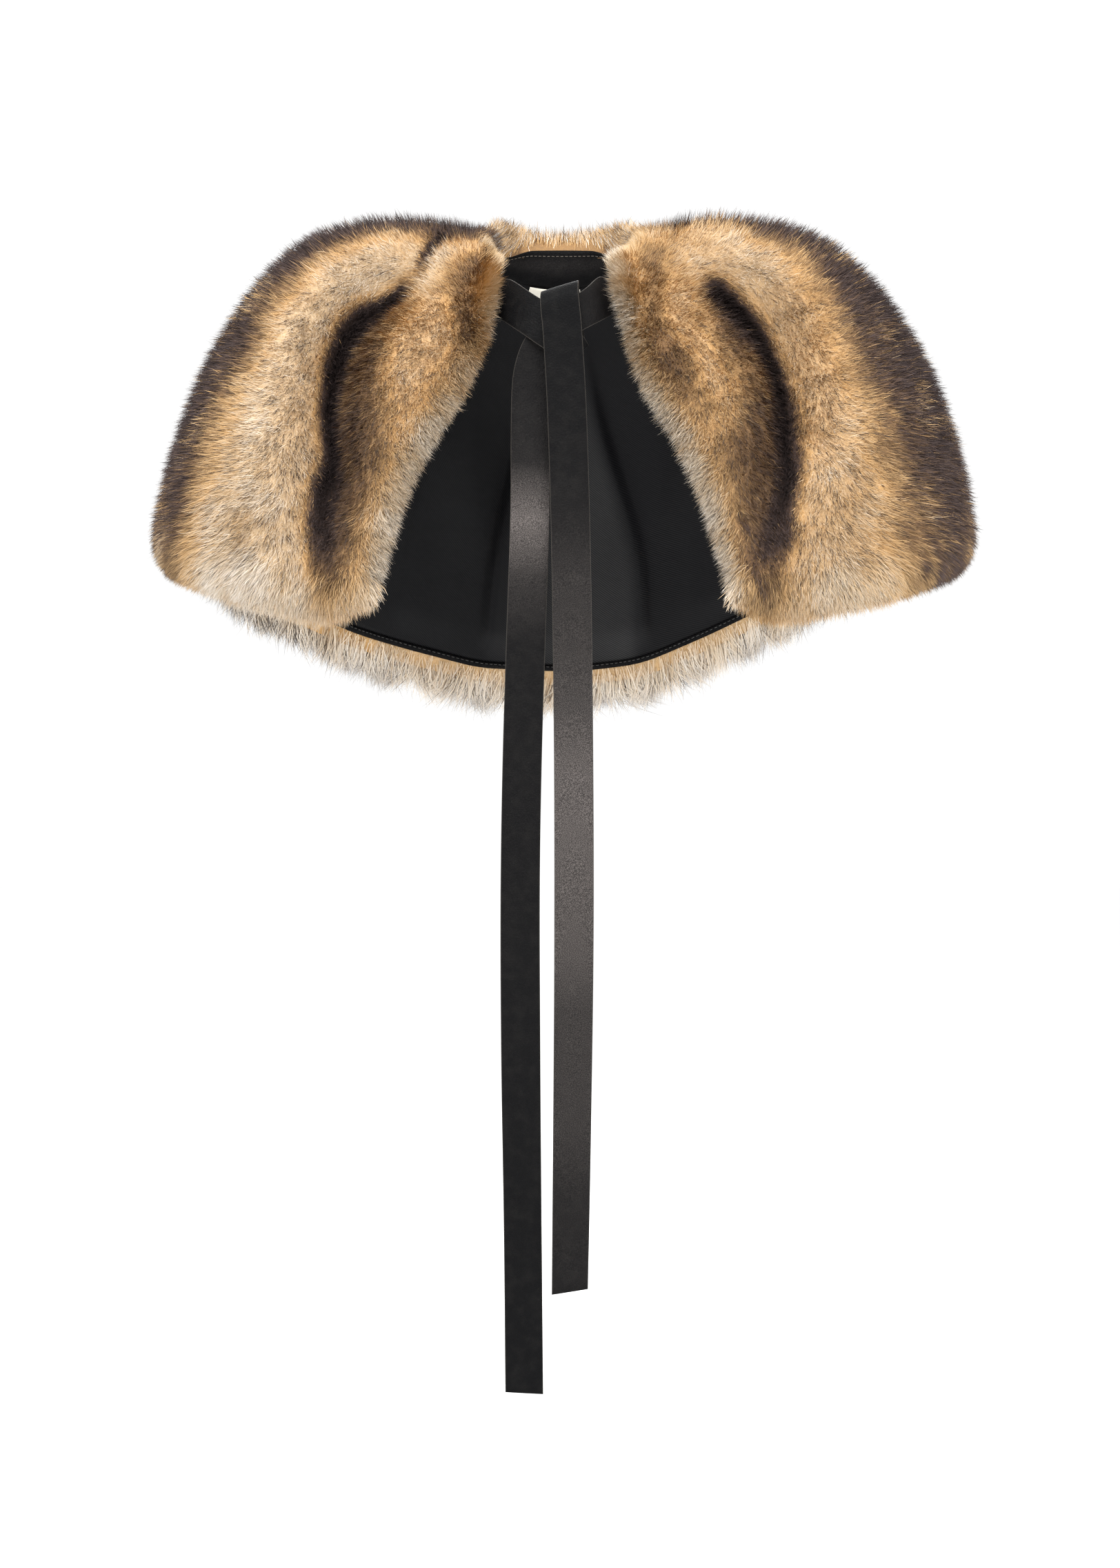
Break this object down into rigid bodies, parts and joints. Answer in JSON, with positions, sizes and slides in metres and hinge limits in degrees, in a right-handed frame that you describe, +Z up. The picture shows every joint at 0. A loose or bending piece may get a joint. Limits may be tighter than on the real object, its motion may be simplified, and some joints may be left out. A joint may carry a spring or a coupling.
{
  "type": "shearling cape",
  "caption": "Short open-front shoulder cape in striped long-pile shearling with a dark lining, leather neck facing and hem binding, and long flat leather ties in a half knot.",
  "frame": {"origin": "middle of the neck opening, at the height where the cape rests on the shoulders", "axes": "+X to the wearer's left, -Y to the wearer's front, +Z up"},
  "size_m": [0.6559, 0.3708, 0.9167],
  "materials": {
    "fur": "dyed shearling with a long soft pile",
    "lining": "smooth twill lining",
    "leather": "fine-grained, semi-matt",
    "label": "woven, plain"
  },
  "bodies": {
    "root": {"front_left": "fur", "front_right": "fur", "back": "fur", "lining_front_left": "lining", "lining_front_right": "lining", "lining_back": "lining", "neck_facing": "leather", "hem_binding": "leather", "neck_label": "label", "tie_left": "leather", "tie_right": "leather"}
  },
  "joints": []
}
